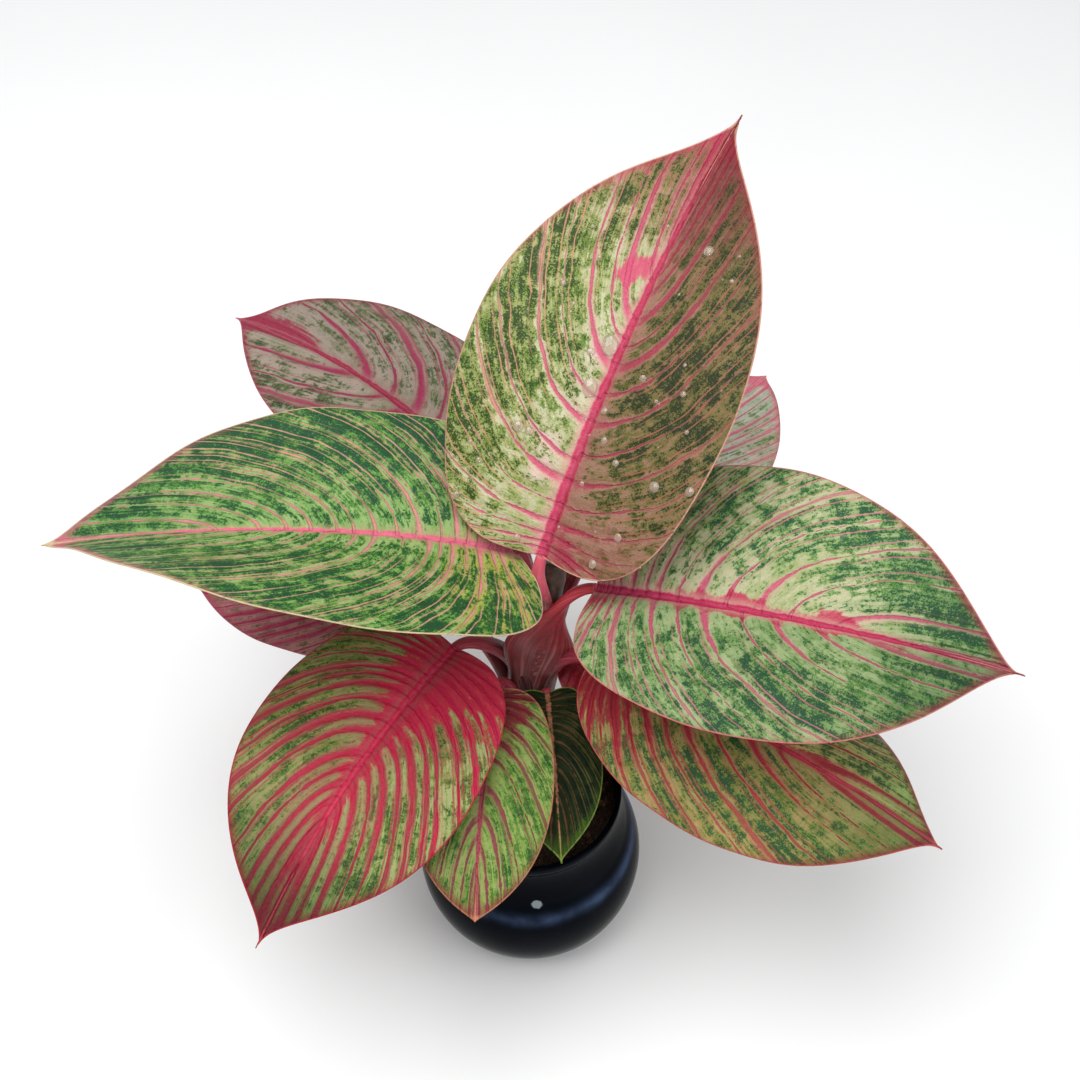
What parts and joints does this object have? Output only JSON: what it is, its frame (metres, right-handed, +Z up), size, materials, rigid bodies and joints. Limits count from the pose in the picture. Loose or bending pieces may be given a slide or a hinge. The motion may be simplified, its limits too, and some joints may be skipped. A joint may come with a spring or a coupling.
{
  "type": "potted chinese evergreen",
  "caption": "Potted chinese evergreen (aglaonema): broad pink-veined speckled leaves on short clasping stalks, in a round glossy blue-black plastic pot filled with potting mix.",
  "frame": {"origin": "middle of the pot's resting face, on the ground", "axes": "+Z up along the pot's axis, -Y towards the viewer's side of the plant, +X to that viewer's right"},
  "size_m": [0.496, 0.3906, 0.4012],
  "materials": {
    "pot_plastic": "glossy",
    "potting_mix": "rough and loose",
    "cane": "satin",
    "stalk": "satin",
    "leaf_olive_pink": "satin",
    "leaf_green": "satin",
    "leaf_pale": "satin",
    "leaf_crimson": "satin"
  },
  "bodies": {
    "root": {"pot": "pot_plastic", "soil": "potting_mix", "cane": "cane", "petiole_top": "stalk", "blade_top": "leaf_olive_pink", "petiole_right": "stalk", "blade_right": "leaf_pale", "petiole_left": "stalk", "blade_left": "leaf_green", "petiole_back_right": "stalk", "blade_back_right": "leaf_pale", "petiole_back_left": "stalk", "blade_back_left": "leaf_pale", "petiole_lower_left": "stalk", "blade_lower_left": "leaf_crimson", "petiole_lower_right": "stalk", "blade_lower_right": "leaf_olive_pink", "petiole_under_left": "stalk", "blade_under_left": "leaf_crimson", "petiole_front": "stalk", "blade_front": "leaf_green", "petiole_inner_small": "stalk", "blade_inner_small": "leaf_crimson", "petiole_front_small": "stalk", "blade_front_small": "leaf_green"}
  },
  "joints": []
}
